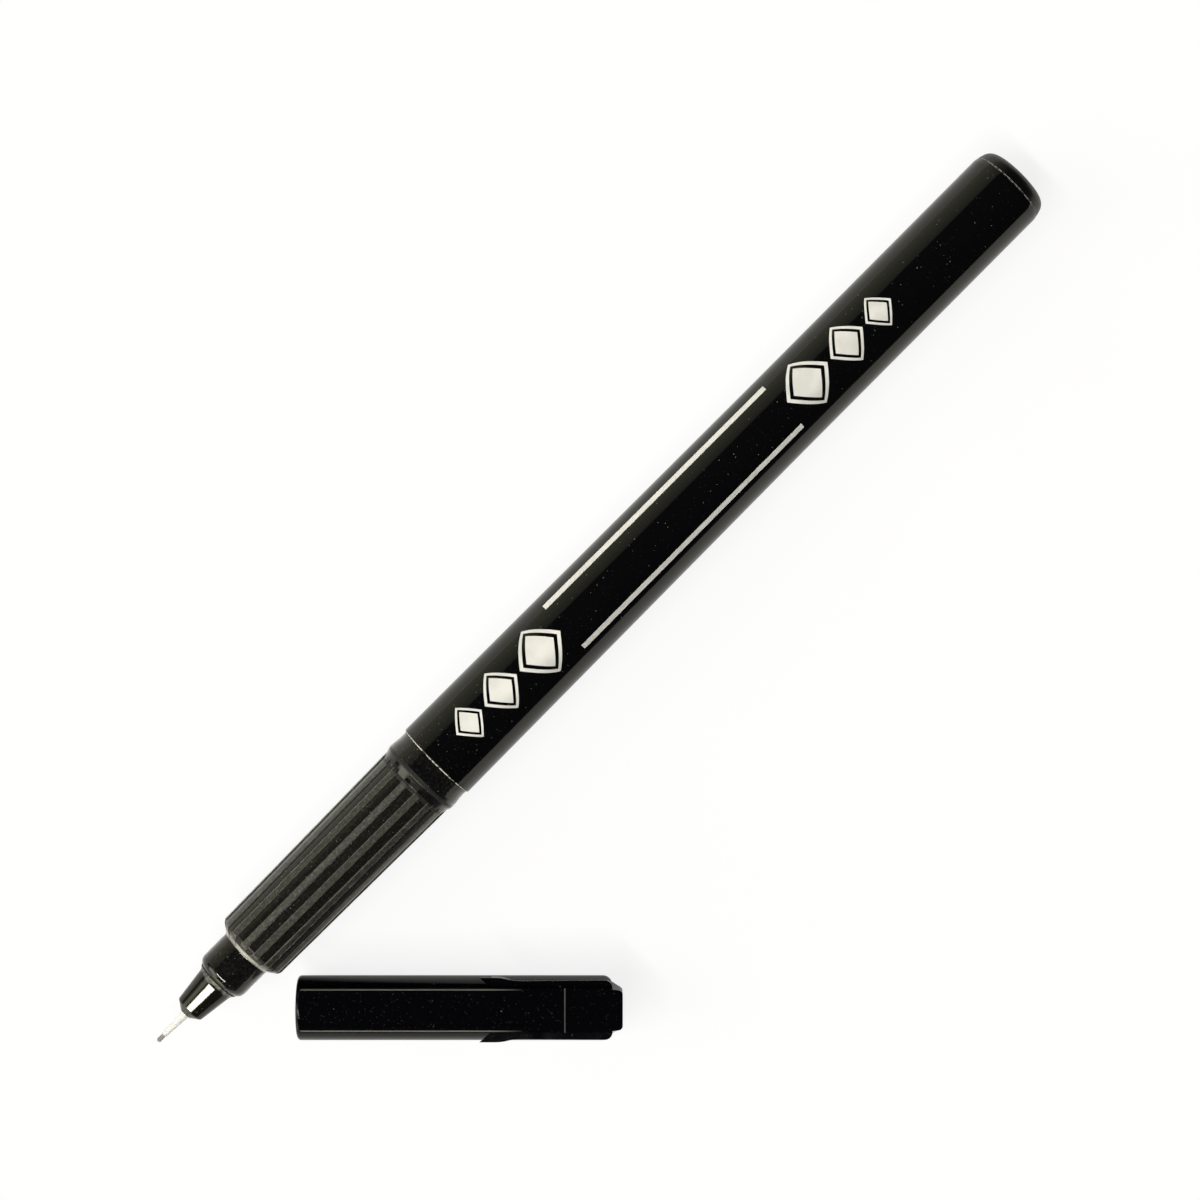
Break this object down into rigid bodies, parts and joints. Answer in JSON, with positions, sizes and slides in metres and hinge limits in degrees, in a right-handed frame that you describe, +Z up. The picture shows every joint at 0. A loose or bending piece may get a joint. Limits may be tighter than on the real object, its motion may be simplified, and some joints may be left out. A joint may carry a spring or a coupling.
{
  "type": "fineliner pen",
  "caption": "Fineliner pen with a tapered barrel, ribbed grip and fine point, lying beside its loose cap with a sprung pocket clip.",
  "frame": {"origin": "middle of the underside of the box round the pen and the cap, on the table", "axes": "+X along the pen from the writing tip to the tail, +Z up from the table, the cap lies on the -Y side"},
  "size_m": [0.1344, 0.0402, 0.0097],
  "materials": {
    "black_gloss": "polished moulded black plastic",
    "black_satin": "black plastic, satin on the ribs",
    "cap_black": "polished moulded black plastic with a little dust",
    "ivory_plastic": "ivory moulded plastic",
    "nib_fibre": "bonded fibre, stained grey by the ink",
    "ink_fibre": "polyester fibre bundle soaked in black ink",
    "clear_film": "thin clear film",
    "liner_plastic": "natural translucent plastic",
    "silver_foil": "hot-stamped silver foil"
  },
  "bodies": {
    "pen": {"barrel": "black_gloss", "tail_plug": "black_gloss", "grip_section": "black_satin", "nib_holder": "black_gloss", "nib_sheath": "ivory_plastic", "nib": "nib_fibre", "ink_reservoir": "ink_fibre", "reservoir_wrap": "clear_film"},
    "cap": {"cap_shell": "cap_black", "inner_cap": "liner_plastic"},
    "clip": {"clip_arm": "cap_black"}
  },
  "joints": [
    {"name": "cap_lift", "type": "slide", "parent": "pen", "child": "cap", "axis": [0, 0, 1], "range_m": [0, 0.05]},
    {"name": "clip_flex", "type": "hinge", "parent": "cap", "child": "clip", "pos_m": [-0.03848, -0.00812, 0.00837], "axis": [0.7072, 0.7032, -0.0732], "range_deg": [0, 3.5], "stiffness_Nm_per_rad": 0.5}
  ]
}
